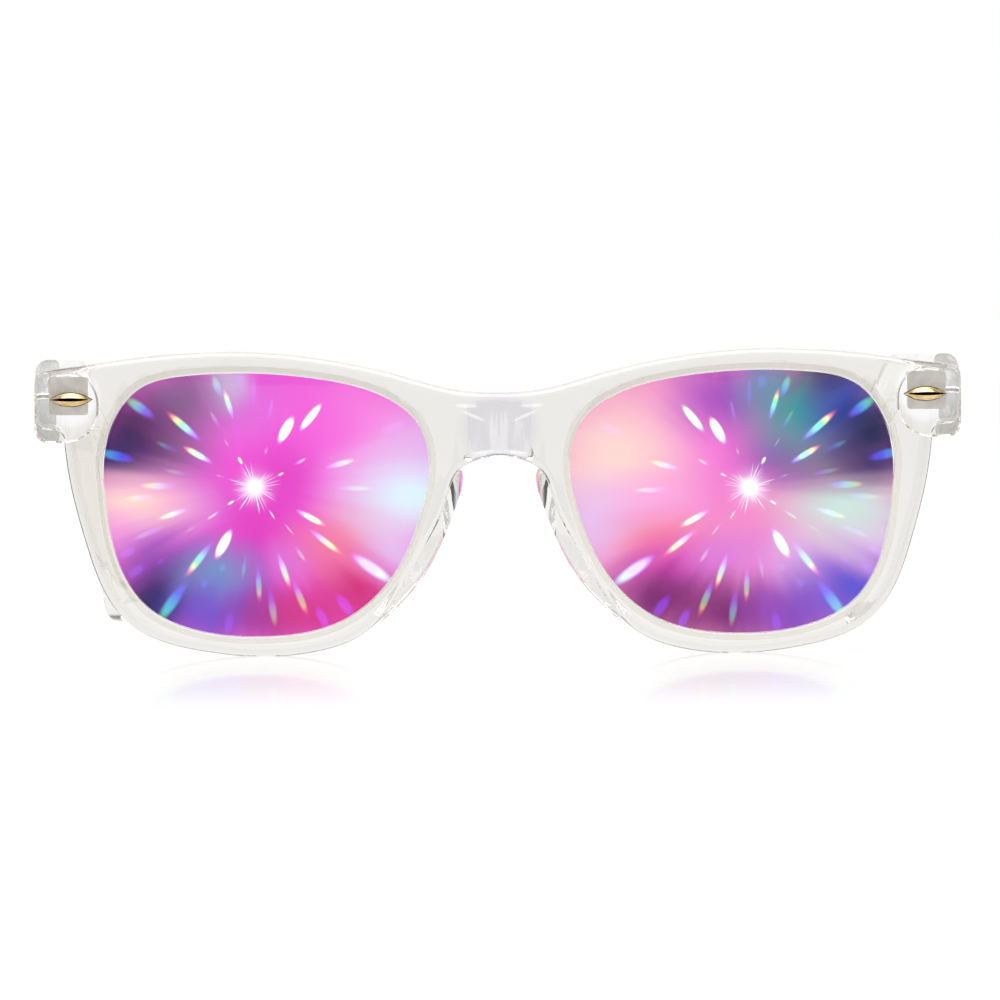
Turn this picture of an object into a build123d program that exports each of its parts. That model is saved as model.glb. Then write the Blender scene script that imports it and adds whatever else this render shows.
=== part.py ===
from build123d import *
import math
import os

# Diffraction glasses: a clear moulded front with two curved lenses, each backed by a diffraction
# film, and two clear folding temples on three-barrel hinges. Millimetres, +Z up, wearer facing -Y.
# Left and right are the wearer's own, so left is +X. The rims and temple tips stand on Z = 0.

# Lenses and the gap between them
lens_width = 50.9
lens_height = 41.1
bridge_gap = 22.0
lens_thickness = 1.2
film_thickness = 0.2
film_inset = 0.35

# Front of the frame
face_radius = 380.0
rim_depth = 4.4
rim_under_lens = 3.2
rest_flat_depth = 0.12
rim_edge_round = 1.1
aperture_edge_round = 0.4
groove_depth = 1.1
groove_setback = 1.3
lens_clearance = 0.1
bridge_height = 9.9

# Nose pads and the scoop behind the bridge
pad_reach = 5.6
pad_edge_round = 0.8
scoop_radius = 9.0
scoop_depth = 1.6
scoop_tilt = 14.0

# Endpieces and the blocks behind them
endpiece_reach = 10.8
endpiece_height = 8.8
endpiece_corner_round = 1.6
block_depth = 5.98
block_width = 10.3
block_above_hinge = 3.9
block_below_hinge = 7.3
block_inner_round = 5.2
block_edge_round = 0.5

# Endpiece ornaments
ornament_length = 7.0
ornament_height = 2.3
ornament_inboard = 5.7
ornament_drop = 0.5
ornament_seat = 0.3
ornament_rise = 0.85
ridge_length = 4.4
ridge_width = 0.14
prong_radius = 0.45
prong_spacing = 4.4
prong_clearance = 0.03

# Hinges
hinge_inboard = 5.3
hinge_setback = 1.5
hinge_height = 6.0
barrel_radius = 1.3
knuckle_gap = 0.06
front_leaf_width = 6.2
leaf_thickness = 0.8
leaf_clearance = 0.05
temple_leaf_length = 10.5
temple_leaf_height = 4.6
leaf_corner_round = 0.6
knuckle_web = 1.9

# Hinge screws
screw_radius = 0.6
screw_head_radius = 0.95
screw_head_thickness = 0.55
screw_slot_width = 0.3
screw_slot_depth = 0.25
screw_clearance = 0.03

# Temple rivets
rivet_radius = 0.5
rivet_head_radius = 0.95
rivet_head_thickness = 0.45
rivet_clearance = 0.03
rivet_count = 2
rivet_pitch = 4.2
rivet_lead = 4.2

# Temples
butt_gap = 0.2
temple_thickness = 3.8
temple_tip_thickness = 3.4
temple_above_hinge = 5.7
temple_below_hinge = 7.3
shaft_above_hinge = 4.6
shaft_height = 7.6
shaft_start = 42.0
bend_distance = 90.0
bend_round_outside = 34.0
bend_round_inside = 24.0
shaft_round = 120.0
drop_angle = 48.0
tip_width = 8.6
tip_round = 4.1
bow_start = 34.0
tip_bow = 10.0
temple_outer_round = 2.1
temple_inner_round = 0.9

# Every cut runs this far past what it cuts
overrun = 2.0

# Outlines, as shares of the sizes that they follow: rim shares are measured from the lens centre
# in lens widths and heights, bridge shares from the top of the bridge in half gaps and bridge
# heights, and endpiece shares from the lens's outer side at hinge height.
lens_shares = [
    (0.500, 0.091), (0.474, 0.303), (0.386, 0.444), (0.231, 0.493), (0.048, 0.500),
    (-0.166, 0.476), (-0.351, 0.415), (-0.467, 0.303), (-0.500, 0.164), (-0.472, -0.045),
    (-0.380, -0.283), (-0.227, -0.444), (0.000, -0.501), (0.217, -0.476), (0.368, -0.386),
    (0.447, -0.245), (0.486, -0.067),
]
bridge_top_share = 0.422
bridge_top_shares = [(0.0, 0.0), (0.56, 0.035), (1.13, 0.19)]
rim_top_shares = [(-0.351, 0.510), (-0.135, 0.561), (0.080, 0.583), (0.266, 0.577), (0.447, 0.554)]
hinge_rise_share = 0.416
endpiece_top_shares = [(0.40, 0.53), (0.76, 0.475)]
endpiece_top_corner_share = (1.0, 0.41)
endpiece_low_corner_share = (0.960, -0.59)
endpiece_notch_share = (0.583, -0.605)
endpiece_root_share = (0.485, -1.57)
rim_low_shares = [
    (0.555, -0.150), (0.505, -0.318), (0.420, -0.455), (0.318, -0.521),
    (0.190, -0.558), (0.030, -0.578), (-0.155, -0.558), (-0.285, -0.500), (-0.388, -0.374),
    (-0.4725, -0.193), (-0.550, 0.005),
]
bridge_low_shares = [(0.56, -1.20), (0.30, -1.06), (0.0, -1.0)]
pad_crest_shares = [
    (-0.351, -0.449), (-0.412, -0.378), (-0.474, -0.290), (-0.537, -0.152), (-0.588, 0.011),
    (-0.604, 0.100), (-0.598, 0.135),
]
pad_root_shares = [
    (-0.560, 0.125), (-0.540, 0.011), (-0.455, -0.190), (-0.375, -0.345), (-0.320, -0.420),
]
# Side view of a pad: the first share is of its reach behind the rim, the second is a rim share.
pad_side_shares = [
    (0.0, 0.155), (0.62, 0.105), (0.97, -0.03), (1.0, -0.17), (0.80, -0.31), (0.0, -0.455),
]

# Places worked out from the sizes above
lens_x = bridge_gap / 2 + lens_width / 2
lens_z = rim_under_lens - rest_flat_depth + lens_height / 2
lens_outer_x = bridge_gap / 2 + lens_width
outer_x = lens_outer_x + endpiece_reach
hinge_z = lens_z + hinge_rise_share * lens_height
bridge_z = lens_z + bridge_top_share * lens_height
endpiece_sweep = face_radius - math.sqrt(face_radius**2 - outer_x**2)
block_reach = endpiece_sweep + block_depth
hinge_x = outer_x - hinge_inboard
hinge_y = block_reach + hinge_setback
temple_front_y = block_reach + butt_gap
ornament_x = outer_x - ornament_inboard
ornament_z = hinge_z - ornament_drop
barrel_height = hinge_height / 3


def at_rim(share):
    """A point of the front view, from shares of the lens about its centre."""
    return (lens_x + share[0] * lens_width, lens_z + share[1] * lens_height)


def at_bridge(share):
    """A point of the front view, from shares of the bridge about its top centre."""
    return (share[0] * bridge_gap / 2, bridge_z + share[1] * bridge_height)


def at_endpiece(share):
    """A point of the front view, from shares of the endpiece about the lens's outer side."""
    return (lens_outer_x + share[0] * endpiece_reach, hinge_z + share[1] * endpiece_height)


def face_y(x):
    """How far the curved front has swept back at a distance from the centre."""
    return face_radius - math.sqrt(face_radius**2 - x**2)


def mirrored(points):
    """The same points on the other half, in the opposite order."""
    return [(-x, z) for x, z in reversed(points)]


def other_side(shape):
    """The same piece for the wearer's right."""
    return mirror(shape, about=Plane.YZ)


def standing_prism(outline, near_y, far_y):
    """A front-view outline carried from one depth to another."""
    return Pos(0, near_y, 0) * extrude(Plane.XZ * outline, amount=near_y - far_y)


def front_layer(near_setback, far_setback):
    """The space between two surfaces that follow the curved front at two setbacks."""
    height = lens_height * 3
    outside = Cylinder(face_radius - near_setback, height)
    inside = Cylinder(face_radius - far_setback, height + overrun)
    return Pos(0, face_radius, lens_z) * (outside - inside)


def lens_outline(grow):
    """The lens opening's outline in the front view, grown or shrunk on every side."""
    width = lens_width + 2 * grow
    height = lens_height + 2 * grow
    points = [(lens_x + u * width, lens_z + v * height) for u, v in lens_shares]
    return make_face(Spline(*points, periodic=True))


def lens_layer(grow, near_setback, far_setback):
    """A lens-shaped sheet that follows the curved front."""
    prism = standing_prism(lens_outline(grow), -overrun, block_reach)
    return prism & front_layer(near_setback, far_setback)


def front_outline():
    """The front view of the whole front, both halves."""
    top = [at_bridge(share) for share in bridge_top_shares]
    top += [at_rim(share) for share in rim_top_shares]
    top += [at_endpiece(share) for share in endpiece_top_shares]
    top.append(at_endpiece(endpiece_top_corner_share))
    low_corner = at_endpiece(endpiece_low_corner_share)
    notch = at_endpiece(endpiece_notch_share)
    low = [notch, at_endpiece(endpiece_root_share)] + [at_rim(share) for share in rim_low_shares]
    low += [at_bridge(share) for share in bridge_low_shares]
    edges = [
        Spline(*(mirrored(top[1:]) + top)),
        Line(top[-1], low_corner),
        Line(low_corner, notch),
        Spline(*(low + mirrored(low[:-1]))),
        Line(*mirrored([low_corner, notch])),
        Line(*mirrored([top[-1], low_corner])),
    ]
    return make_face(edges)


def depth_edges(shape):
    """The edges that run straight from front to back."""
    return shape.edges().filter_by(Axis.Y)


def outline_edges(shape):
    """The edges that follow the outline in the front view, on both faces."""
    return shape.edges().filter_by(lambda edge: abs((edge @ 1 - edge @ 0).Y) < rim_depth / 2)


def rod(radius, start, end):
    """A round bar between two points along one of the main axes."""
    along = Vector(end) - Vector(start)
    return Solid.make_cylinder(radius, along.length, Plane(start, z_dir=along))


def box_between(low, high):
    """A box between two opposite corners."""
    size = Vector(high) - Vector(low)
    return Pos(*((Vector(low) + Vector(high)) / 2)) * Box(*size)


def front_slab():
    """The curved front with rounded outer edges and no openings yet."""
    slab = standing_prism(front_outline(), -overrun, block_reach) & front_layer(0, rim_depth)
    slab = fillet(depth_edges(slab), endpiece_corner_round)
    return fillet(outline_edges(slab), rim_edge_round)


def block_outline():
    """The rear view of one endpiece block, deeply rounded on its inner side."""
    low = hinge_z - block_below_hinge
    high = hinge_z + block_above_hinge
    inner = outer_x - block_width
    corners = [(inner, low), (outer_x, low), (outer_x, high), (inner, high)]
    outline = make_face(Polyline(*corners, close=True))
    outline = fillet(outline.vertices().sort_by(Axis.X)[:2], block_inner_round)
    corners = outline.vertices().sort_by(Axis.X)
    return fillet(corners[-2:], temple_outer_round)


def endpiece_block():
    """The block behind one endpiece, which the hinge sits in."""
    near = endpiece_sweep + rim_edge_round
    block = standing_prism(block_outline(), near, block_reach)
    rear = block.faces().sort_by(Axis.Y)[-1]
    return fillet(rear.edges(), block_edge_round)


def nose_pad():
    """One moulded nose pad, a crescent that stands out behind the rim."""
    crest = [at_rim(share) for share in pad_crest_shares]
    root = [at_rim(share) for share in pad_root_shares]
    edges = [Spline(*crest), Line(crest[-1], root[0]), Spline(*root), Line(root[-1], crest[0])]
    near = rim_depth - rim_edge_round - aperture_edge_round
    crescent = standing_prism(make_face(edges), near, rim_depth + pad_reach + overrun)
    side = [(rim_depth + reach * pad_reach, at_rim((0, v))[1]) for reach, v in pad_side_shares]
    profile = make_face([
        Spline(*side),
        Polyline(side[-1], (0, side[-1][1]), (0, side[0][1]), side[0]),
    ])
    pad = crescent & extrude(Plane.YZ * profile, amount=lens_outer_x)
    rear = pad.edges().filter_by(lambda edge: edge.position_at(0.5).Y > rim_depth)
    return fillet(rear, pad_edge_round)


def bridge_scoop():
    """The hollow behind the bridge that sits on the nose, shallower towards the top."""
    height = bridge_height * 4
    sink = scoop_radius - scoop_depth
    axis = Location((0, rim_depth + sink, bridge_z - bridge_height), (-scoop_tilt, 0, 0))
    return axis * Cylinder(scoop_radius, height)


def ornament_plane():
    """The plane that lies on the curved front at the ornament's middle."""
    sweep = math.asin(ornament_x / face_radius)
    origin = (ornament_x, face_y(ornament_x), ornament_z)
    across = (math.cos(sweep), math.sin(sweep), 0)
    outwards = (math.sin(sweep), -math.cos(sweep), 0)
    return Plane(origin, x_dir=across, z_dir=outwards)


def almond(length, width):
    """A pointed oval between two equal arcs."""
    upper = ThreePointArc((-length / 2, 0), (0, width / 2), (length / 2, 0))
    lower = ThreePointArc((length / 2, 0), (0, -width / 2), (-length / 2, 0))
    return make_face([upper, lower])


def prong_places():
    """Where the ornament's two prongs stand, as X and the depth of the seat there."""
    plane = ornament_plane()
    sides = (-prong_spacing / 2, prong_spacing / 2)
    return [plane.from_local_coords(Vector(side, 0, 0)) for side in sides]


def prongs(radius):
    """Two round prongs from the ornament to the block's rear face."""
    return [rod(radius, point, (point.X, block_reach, point.Z)) for point in prong_places()]


def ornament():
    """A pointed metal ornament with a ridge, and the two prongs that hold it."""
    plane = ornament_plane()
    base = almond(ornament_length, ornament_height)
    ridge = Pos(0, 0, ornament_rise) * almond(ridge_length, ridge_width)
    seat = extrude(base, amount=-ornament_seat)
    crown = loft([base, ridge], ruled=True)
    return plane * (seat + crown) + prongs(prong_radius)


def ornament_pocket():
    """The shallow seat and the prong holes in the front."""
    length = ornament_length + 4 * leaf_clearance
    base = almond(length, ornament_height + 2 * leaf_clearance)
    pocket = extrude(base, amount=-ornament_seat) + extrude(base, amount=overrun)
    return [ornament_plane() * pocket] + prongs(prong_radius + prong_clearance)


def front_leaf_plate(grow):
    """The plate of the hinge's front leaf, or with a clearance its pocket."""
    half_width = front_leaf_width / 2 + grow
    half_height = hinge_height / 2 + grow
    plate = box_between(
        (ornament_x - half_width, block_reach - leaf_thickness, hinge_z - half_height),
        (ornament_x + half_width, block_reach, hinge_z + half_height),
    )
    return fillet(plate.edges().filter_by(Axis.Y), leaf_corner_round)


def knuckle(level, reach_x, reach_y):
    """One barrel of the hinge with a web that reaches to its leaf."""
    low = hinge_z - hinge_height / 2 + level * barrel_height + knuckle_gap / 2
    high = low + barrel_height - knuckle_gap
    barrel = rod(barrel_radius, (hinge_x, hinge_y, low), (hinge_x, hinge_y, high))
    web = box_between(
        (min(hinge_x - knuckle_web / 2, reach_x), min(hinge_y - knuckle_web / 2, reach_y), low),
        (max(hinge_x + knuckle_web / 2, reach_x), max(hinge_y + knuckle_web / 2, reach_y), high),
    )
    return barrel + web


def screw_shank(radius):
    """The straight part of the hinge screw, from under its head to the last barrel's end."""
    low = hinge_z - hinge_height / 2
    high = hinge_z + hinge_height / 2
    return rod(radius, (hinge_x, hinge_y, low), (hinge_x, hinge_y, high))


def screw_head(radius, thickness):
    """The hinge screw's flat head, let into the top barrel."""
    high = hinge_z + hinge_height / 2
    return rod(radius, (hinge_x, hinge_y, high - thickness), (hinge_x, hinge_y, high))


def front_hinge_leaf():
    """The hinge leaf on the front, with the top and bottom barrels."""
    leaf = front_leaf_plate(0)
    for level in (0, 2):
        leaf += knuckle(level, hinge_x, block_reach)
    leaf -= screw_shank(screw_radius + screw_clearance)
    leaf -= screw_head(screw_head_radius + screw_clearance, screw_head_thickness)
    return leaf - prongs(prong_radius + prong_clearance)


def hinge_screw():
    """The slotted screw that the hinge turns on."""
    high = hinge_z + hinge_height / 2
    screw = screw_shank(screw_radius) + screw_head(screw_head_radius, screw_head_thickness)
    slot = box_between(
        (hinge_x - screw_head_radius - overrun, hinge_y - screw_slot_width / 2, high - screw_slot_depth),
        (hinge_x + screw_head_radius + overrun, hinge_y + screw_slot_width / 2, high + overrun),
    )
    return screw - slot


def front_frame():
    """The clear front: rims, bridge, nose pads and endpiece blocks, with every seat cut."""
    frame = front_slab()
    opening = standing_prism(lens_outline(0), -overrun, block_reach)
    frame -= [opening, other_side(opening)]
    frame = fillet(frame.edges().filter_by(lambda edge: edge.is_closed), aperture_edge_round)
    added = [endpiece_block(), nose_pad()]
    cuts = [
        lens_layer(groove_depth, groove_setback, groove_setback + lens_thickness + film_thickness),
        front_leaf_plate(leaf_clearance),
    ]
    cuts += ornament_pocket()
    for shape in added:
        frame += [shape, other_side(shape)]
    for shape in cuts:
        frame -= [shape, other_side(shape)]
    frame -= bridge_scoop()
    floor = box_between((-outer_x, -overrun, -overrun), (outer_x, block_reach, 0))
    return frame - floor


def lens():
    """One clear lens, held in the groove."""
    return lens_layer(groove_depth - lens_clearance, groove_setback, groove_setback + lens_thickness)


def film():
    """The diffraction film bonded to the back of one lens."""
    near = groove_setback + lens_thickness
    return lens_layer(groove_depth - film_inset, near, near + film_thickness)


def temple_tip():
    """The end of the temple's centre line in side view, set so that the tip stands on the floor."""
    drop = math.radians(drop_angle)
    centre = hinge_z + shaft_above_hinge - shaft_height / 2
    flat_half = tip_width / 2 - tip_round
    end_z = tip_round + flat_half * math.cos(drop) - tip_round * math.sin(drop)
    return (hinge_y + bend_distance + (centre - end_z) / math.tan(drop), end_z)


def temple_side():
    """The temple in side view: deep at the hinge, slim along the shaft, dropped behind the ear."""
    drop = math.radians(drop_angle)
    shaft_top = hinge_z + shaft_above_hinge
    shaft_low = shaft_top - shaft_height
    bend_y = hinge_y + bend_distance
    mitre = math.tan(drop / 2) * shaft_height / 2
    tip_y, tip_z = temple_tip()
    across_y = math.sin(drop) * tip_width / 2
    across_z = math.cos(drop) * tip_width / 2
    corners = [
        (bend_y + mitre, shaft_top),
        (tip_y + across_y, tip_z + across_z),
        (tip_y - across_y, tip_z - across_z),
        (bend_y - mitre, shaft_low),
        (hinge_y + shaft_start, shaft_low),
    ]
    rounds = [bend_round_outside, tip_round, tip_round, bend_round_inside, shaft_round]
    high = (temple_front_y, hinge_z + temple_above_hinge)
    low = (temple_front_y, hinge_z - temple_below_hinge)
    path = FilletPolyline(high, *corners, low, radius=rounds)
    return make_face([path, Line(low, high)])


def temple_plan():
    """The temple from above: straight along the shaft, then bowed in towards the head."""
    bow_y = hinge_y + bow_start
    end_y = temple_tip()[0] + tip_width
    inner_x = outer_x - temple_thickness
    bowed_outer = (outer_x - tip_bow, end_y)
    bowed_inner = (outer_x - tip_bow - temple_tip_thickness, end_y)
    edges = [
        Line((outer_x, temple_front_y), (outer_x, bow_y)),
        TangentArc((outer_x, bow_y), bowed_outer, tangent=(0, 1)),
        Line(bowed_outer, bowed_inner),
        TangentArc((inner_x, bow_y), bowed_inner, tangent=(0, 1)),
        Line((inner_x, temple_front_y), (inner_x, bow_y)),
        Line((inner_x, temple_front_y), (outer_x, temple_front_y)),
    ]
    return make_face(edges)


def bow_at(y):
    """How far the temple has bowed inwards at a depth."""
    start = hinge_y + bow_start
    length = temple_tip()[0] + tip_width - start
    radius = (length**2 + tip_bow**2) / (2 * tip_bow)
    return radius - math.sqrt(radius**2 - max(0, y - start) ** 2)


def temple_blank():
    """The clear temple with rounded edges, before the hinge seat is cut."""
    side = extrude(Plane.YZ * temple_side(), amount=outer_x + overrun)
    plan = Pos(0, 0, -overrun) * extrude(temple_plan(), amount=lens_height + hinge_z)
    blank = side & plan
    long_edges = blank.edges().filter_by(Axis.X, reverse=True).filter_by(Axis.Z, reverse=True)
    outer = long_edges.filter_by(on_outer_side)
    blank = fillet(outer, temple_outer_round)
    long_edges = blank.edges().filter_by(Axis.X, reverse=True).filter_by(Axis.Z, reverse=True)
    inner = long_edges.filter_by(on_inner_face)
    return fillet(inner, temple_inner_round)


def on_outer_side(edge):
    """Whether a temple edge lies on its outer face."""
    middle = edge.position_at(0.5)
    return middle.X > outer_x - bow_at(middle.Y) - temple_tip_thickness / 2


def on_inner_face(edge):
    """Whether a temple edge lies on its inner face."""
    middle = edge.position_at(0.5)
    return middle.X < outer_x - bow_at(middle.Y) - temple_tip_thickness


def temple_leaf_plate(grow):
    """The plate of the hinge's temple leaf, or with a clearance its pocket."""
    half_height = temple_leaf_height / 2 + grow
    inner_x = outer_x - temple_thickness
    rear_y = temple_front_y + temple_leaf_length + grow
    plate = box_between(
        (inner_x, temple_front_y, hinge_z - half_height),
        (inner_x + leaf_thickness, rear_y, hinge_z + half_height),
    )
    rear = plate.edges().filter_by(Axis.X).sort_by(Axis.Y)[-2:]
    return fillet(rear, leaf_corner_round)


def rivet_places():
    """The depths of the rivets that hold the temple leaf."""
    return [temple_front_y + rivet_lead + index * rivet_pitch for index in range(rivet_count)]


def rivets(grow):
    """The round rivets with flat heads, flush on both sides, or with a clearance their holes."""
    inner_x = outer_x - temple_thickness
    shapes = []
    for y in rivet_places():
        shank = rod(rivet_radius + grow, (inner_x, y, hinge_z), (outer_x, y, hinge_z))
        head_x = outer_x - rivet_head_thickness
        head = rod(rivet_head_radius + grow, (head_x, y, hinge_z), (outer_x, y, hinge_z))
        shapes.append(shank + head)
    return shapes


def temple():
    """The clear temple with the hinge seat and the rivet holes."""
    return temple_blank() - [temple_leaf_plate(leaf_clearance)] - rivets(rivet_clearance)


def temple_hinge_leaf():
    """The hinge leaf on the temple, with the middle barrel."""
    inner_x = outer_x - temple_thickness
    leaf = temple_leaf_plate(0) + knuckle(1, inner_x + leaf_thickness, hinge_y)
    leaf -= screw_shank(screw_radius + screw_clearance)
    return leaf - rivets(rivet_clearance)


def overall_depth():
    """The depth of the open glasses, from the bridge's front to the back of the temple tips."""
    drop = math.radians(drop_angle)
    flat_half = tip_width / 2 - tip_round
    return temple_tip()[0] + tip_round * (1 - math.cos(drop)) + flat_half * math.sin(drop)


def centred(piece):
    """The piece moved so that the origin lies under the middle of the open glasses."""
    return Pos(0, -overall_depth() / 2, 0) * piece


def write_parts():
    """Write each piece to its own file."""
    os.makedirs("parts", exist_ok=True)
    export_step(centred(front_frame()), "parts/front_frame.step")
    pieces = {
        "lens": lens(),
        "diffraction_film": film(),
        "endpiece_ornament": ornament(),
        "front_hinge_leaf": front_hinge_leaf(),
        "hinge_screw": hinge_screw(),
        "temple": temple(),
        "temple_hinge_leaf": temple_hinge_leaf(),
        "temple_rivets": Compound(rivets(0)),
    }
    for name, piece in pieces.items():
        export_step(centred(piece), f"parts/{name}_left.step")
        export_step(centred(other_side(piece)), f"parts/{name}_right.step")


write_parts()
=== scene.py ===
"""Looks of a pair of clear diffraction glasses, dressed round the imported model.

The wearer looks along -Y, so the wearer's left is +X. Sizes are written in millimetres and one
function turns them to metres.
"""

import logging
import math
from collections.abc import Callable, Iterable, Sequence
from dataclasses import dataclass
from enum import Enum
from functools import cache, partial

import bmesh
import bpy
import numpy as np
from mathutils import Matrix, Vector

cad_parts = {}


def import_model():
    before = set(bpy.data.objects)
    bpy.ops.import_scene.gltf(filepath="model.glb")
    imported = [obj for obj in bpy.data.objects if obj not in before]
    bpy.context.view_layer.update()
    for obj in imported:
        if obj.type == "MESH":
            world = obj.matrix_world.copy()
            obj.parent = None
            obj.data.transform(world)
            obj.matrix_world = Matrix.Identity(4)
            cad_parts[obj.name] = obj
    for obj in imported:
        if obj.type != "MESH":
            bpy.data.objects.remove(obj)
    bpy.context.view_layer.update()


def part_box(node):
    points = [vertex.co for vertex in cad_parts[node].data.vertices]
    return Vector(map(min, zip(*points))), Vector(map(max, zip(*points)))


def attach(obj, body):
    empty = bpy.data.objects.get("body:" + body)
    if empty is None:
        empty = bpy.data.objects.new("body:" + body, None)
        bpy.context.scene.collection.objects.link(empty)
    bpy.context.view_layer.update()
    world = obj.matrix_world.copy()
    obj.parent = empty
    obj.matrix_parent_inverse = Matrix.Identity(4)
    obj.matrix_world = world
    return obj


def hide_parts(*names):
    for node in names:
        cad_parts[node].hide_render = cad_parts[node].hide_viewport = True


LOG = logging.getLogger("diffraction_glasses")
FRONT_BODY = "front"
FACE_RADIUS = 380.0
WHITE = "#FFFFFF"
BLACK = "#000000"
# The two pairs of inputs that every map range node has.
FROM = ("From Min", "From Max")
TO = ("To Min", "To Max")
Point = tuple[float, float]
Triple = tuple[float, float, float]
Stops = tuple[tuple[float, str], ...]
Tree = bpy.types.NodeTree
Node = bpy.types.Node
Adder = Callable[..., Node]
Socket = bpy.types.NodeSocket
Material = bpy.types.Material
Shell = bmesh.types.BMesh


class Side(Enum):
    """One side of the wearer, with the sign of its X."""

    LEFT = 1
    RIGHT = -1

    @property
    def word(self) -> str:
        """The side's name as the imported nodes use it."""
        return self.name.lower()

    @property
    def temple_body(self) -> str:
        """The moving body of this side's temple."""
        return f"temple_{self.word}"


class Hue(Enum):
    """The soft colours that the film throws behind its starburst."""

    HOT_PINK = "#F067DC"
    PINK = "#F9A6E6"
    BLUSH = "#F096CC"
    MAGENTA = "#DF3CC2"
    ORCHID = "#D985DE"
    VIOLET = "#9C50C0"
    PERIWINKLE = "#6A5CD4"
    PLUM = "#562463"
    WINE = "#86207A"
    CRIMSON = "#D42F86"
    CORAL = "#F08AA6"
    INDIGO = "#2A1E6A"
    NAVY = "#14245C"
    ROYAL = "#2A58C8"
    TEAL = "#48A0A4"
    STEEL = "#7E9CCC"
    ICE = "#E0F1FA"
    LILAC = "#E4C8F2"
    MAUVE = "#8E6C96"
    SAGE = "#CFE6DE"
    PEACH = "#FAD9D4"


class Spectrum(Enum):
    """The colours of one diffraction order, from its inner end to its outer end."""

    VIOLET = (0.0, "#7A3CFF")
    BLUE = (0.2, "#3C5CFF")
    CYAN = (0.4, "#30D0F0")
    GREEN = (0.58, "#48EA78")
    YELLOW = (0.75, "#F0EA5A")
    ORANGE = (0.88, "#FF8848")
    RED = (1.0, "#FF3C50")


def mm(size: float) -> float:
    """Millimetres as metres."""
    return size / 1000.0


def colour(code: str) -> tuple[float, float, float, float]:
    """Turn an sRGB hex code to a linear colour.

    Args:
        code: The code, such as "#C0FFEE".

    Returns:
        Linear red, green and blue, and an alpha of one.
    """
    shares = [int(code[start : start + 2], 16) / 255 for start in (1, 3, 5)]
    linear = [s / 12.92 if s <= 0.04045 else ((s + 0.055) / 1.055) ** 2.4 for s in shares]
    return (linear[0], linear[1], linear[2], 1.0)


@cache
def front_y() -> float:
    """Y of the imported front's foremost point, in metres."""
    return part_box("front_frame")[0].y


def face_depth(across: float, setback: float = 0.0) -> float:
    """Find where a surface of the curved front lies.

    Args:
        across: Distance from the middle plane, in millimetres.
        setback: How far the surface lies behind the front's face.

    Returns:
        The surface's Y in millimetres.
    """
    return front_y() * 1000 + FACE_RADIUS - math.sqrt((FACE_RADIUS - setback) ** 2 - across**2)


def add_node(tree: Tree, kind: str, inputs: dict | None = None, **settings: object) -> Node:
    """Add one node with its settings, values and links.

    Args:
        tree: The node tree that the node goes in.
        kind: The node's type name without its "ShaderNode" prefix.
        inputs: By input, a value, an output socket, or a node for its first live output. A tuple
            of inputs takes a tuple of these.
        **settings: The node's own properties.

    Returns:
        The new node.
    """
    node = tree.nodes.new(kind if kind.startswith("Node") else "ShaderNode" + kind)
    for name, value in settings.items():
        setattr(node, name, value)
    for names, values in (inputs or {}).items():
        for name, value in zip(names, values) if isinstance(names, tuple) else ((names, values),):
            if isinstance(value, Node):
                value = next(output for output in value.outputs if output.enabled)
            if isinstance(value, Socket):
                tree.links.new(value, node.inputs[name])
            else:
                node.inputs[name].default_value = value
    return node


def set_stops(ramp: Node, stops: Iterable[tuple[float, str]]) -> Node:
    """Give a colour ramp its stops.

    Args:
        ramp: The colour ramp node.
        stops: Places from 0 to 1 with their hex codes.

    Returns:
        The same node.
    """
    elements = ramp.color_ramp.elements
    for index, (place, code) in enumerate(stops):
        element = elements[index] if index < len(elements) else elements.new(1.0)
        element.position = place
        element.color = colour(code)
    return ramp


def new_material(name: str) -> tuple[Material, Adder, Socket]:
    """Start an empty node material.

    Args:
        name: What the material is.

    Returns:
        The material, what adds a node to it, and the object's own coordinates in metres.
    """
    material = bpy.data.materials.new(name)
    material.use_nodes = True
    material.node_tree.nodes.clear()
    add = partial(add_node, material.node_tree)
    return material, add, add("TexCoord").outputs["Object"]


def soft_oval(
    add: Adder, place: object, middle: object, turn: object, reach: object, rim: float
) -> Node:
    """Add a soft turned oval, one in its middle and zero at its reach.

    Args:
        add: Adds a node to the tree.
        place: The place to measure.
        middle: The oval's middle.
        turn: Its turn.
        reach: Its reach on each axis.
        rim: Share of the reach over which it fades out.

    Returns:
        The node that gives the oval.
    """
    local = add(
        "Mapping", {"Vector": place, "Location": middle, "Rotation": turn, "Scale": reach},
        vector_type="TEXTURE",
    )
    fade = add("TexGradient", {"Vector": local}, gradient_type="SPHERICAL").outputs["Fac"]
    return add("MapRange", {"Value": fade, "From Max": rim}, interpolation_type="SMOOTHSTEP")


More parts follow.
